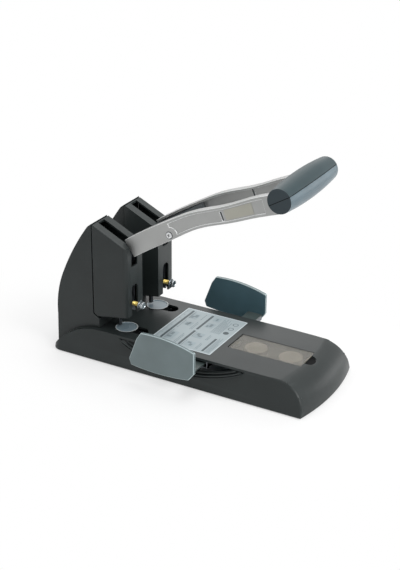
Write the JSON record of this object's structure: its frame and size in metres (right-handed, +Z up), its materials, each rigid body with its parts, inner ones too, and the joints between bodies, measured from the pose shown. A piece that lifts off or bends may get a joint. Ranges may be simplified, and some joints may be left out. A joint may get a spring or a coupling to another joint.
{
  "type": "two-hole lever punch",
  "caption": "Heavy-duty two-hole paper punch with a long bed, twin punch towers, a long barrel-grip lever, sliding paper guides and a hinged spare-disc window.",
  "frame": {"origin": "middle of the footprint, on the surface that the feet stand on", "axes": "+X to the nose and the grip, +Z up, +Y to the right guide's side"},
  "size_m": [0.39, 0.205, 0.2992],
  "materials": {
    "charcoal_plastic": "fine moulded texture",
    "guide_plastic": "satin",
    "grip_plastic": "satin",
    "frame_steel": "zinc plated",
    "tool_steel": "ground",
    "lever_steel": "satin dark grey",
    "arm_metal": "satin silver",
    "lock_brass": "turned",
    "knob_chrome": "polished",
    "foot_rubber": "matte",
    "disc_plastic": "satin",
    "window_plastic": "smoked clear",
    "label_paper": "laminated"
  },
  "bodies": {
    "handle": {"left_handle_arm": "arm_metal", "right_handle_arm": "arm_metal", "left_lever": "lever_steel", "right_lever": "lever_steel", "arm_screws": "tool_steel", "left_drive_pin": "tool_steel", "right_drive_pin": "tool_steel", "upper_grip_half": "grip_plastic", "lower_grip_half": "grip_plastic", "grip_rod": "tool_steel"},
    "guide_pinion_gear": {"guide_pinion": "frame_steel"},
    "window": {"storage_window": "window_plastic"},
    "ram_left": {"left_ram": "tool_steel", "left_punch_pin": "tool_steel"},
    "lock_left": {"left_lock_screw": "lock_brass", "left_lock_knob": "knob_chrome"},
    "disc_left": {"left_cutting_disc": "disc_plastic"},
    "guide_left": {"left_paper_guide": "guide_plastic", "left_guide_rack": "frame_steel"},
    "ram_right": {"right_ram": "tool_steel", "right_punch_pin": "tool_steel"},
    "lock_right": {"right_lock_screw": "lock_brass", "right_lock_knob": "knob_chrome"},
    "disc_right": {"right_cutting_disc": "disc_plastic"},
    "guide_right": {"right_paper_guide": "guide_plastic", "right_guide_rack": "frame_steel"},
    "base": {"base_plate": "frame_steel", "base_screws": "tool_steel", "base_shell": "charcoal_plastic", "disc_tray": "charcoal_plastic", "foot_front_left": "foot_rubber", "foot_front_right": "foot_rubber", "foot_rear_left": "foot_rubber", "foot_rear_right": "foot_rubber", "guide_channel": "frame_steel", "instruction_label": "label_paper", "left_pivot_pin": "tool_steel", "left_press_frame": "frame_steel", "left_punch_bush": "tool_steel", "left_return_spring": "tool_steel", "left_tower_housing": "charcoal_plastic", "pinion_post": "frame_steel", "rear_cover": "charcoal_plastic", "right_pivot_pin": "tool_steel", "right_press_frame": "frame_steel", "right_punch_bush": "tool_steel", "right_return_spring": "tool_steel", "right_tower_housing": "charcoal_plastic", "spare_disc_front": "disc_plastic", "spare_disc_rear": "disc_plastic"}
  },
  "joints": [
    {"name": "handle_swing", "type": "hinge", "parent": "base", "child": "handle", "pos_m": [-0.1285, 0, 0.1345], "axis": [0, -1, 0], "range_deg": [-4, 44]},
    {"name": "window_hinge", "type": "hinge", "parent": "base", "child": "window", "pos_m": [0.0532, 0, 0.041], "axis": [0, -1, 0], "range_deg": [0, 75]},
    {"name": "pinion_turn", "type": "hinge", "parent": "base", "child": "guide_pinion_gear", "pos_m": [0.031, 0, 0.0315], "axis": [0, 0, 1], "range_deg": [-125, 498]},
    {"name": "ram_left_slide", "type": "slide", "parent": "base", "child": "ram_left", "axis": [0, 0, 1], "range_m": [-0.0019, 0.0201]},
    {"name": "lock_left_turn", "type": "hinge", "parent": "ram_left", "child": "lock_left", "pos_m": [-0.08383, -0.04, 0.0815], "axis": [1, 0, 0], "continuous": true},
    {"name": "disc_left_turn", "type": "hinge", "parent": "base", "child": "disc_left", "pos_m": [-0.0935, -0.04, 0.04], "axis": [0, 0, 1], "continuous": true},
    {"name": "ram_right_slide", "type": "slide", "parent": "base", "child": "ram_right", "axis": [0, 0, 1], "range_m": [-0.0019, 0.0201]},
    {"name": "lock_right_turn", "type": "hinge", "parent": "ram_right", "child": "lock_right", "pos_m": [-0.08383, 0.04, 0.0815], "axis": [1, 0, 0], "continuous": true},
    {"name": "disc_right_turn", "type": "hinge", "parent": "base", "child": "disc_right", "pos_m": [-0.0935, 0.04, 0.04], "axis": [0, 0, 1], "continuous": true},
    {"name": "guide_left_slide", "type": "slide", "parent": "base", "child": "guide_left", "axis": [0, -1, 0], "range_m": [-0.013, 0.052]},
    {"name": "guide_right_slide", "type": "slide", "parent": "base", "child": "guide_right", "axis": [0, 1, 0], "range_m": [-0.0131, 0.0521]}
  ],
  "couplings": [
    {"joint": "pinion_turn", "follows": "guide_left_slide", "rad_per_m": 166.67},
    {"joint": "ram_left_slide", "follows": "handle_swing", "m_per_rad": 0.02615},
    {"joint": "ram_right_slide", "follows": "handle_swing", "m_per_rad": 0.02615},
    {"joint": "guide_right_slide", "follows": "guide_left_slide", "ratio": 1}
  ]
}
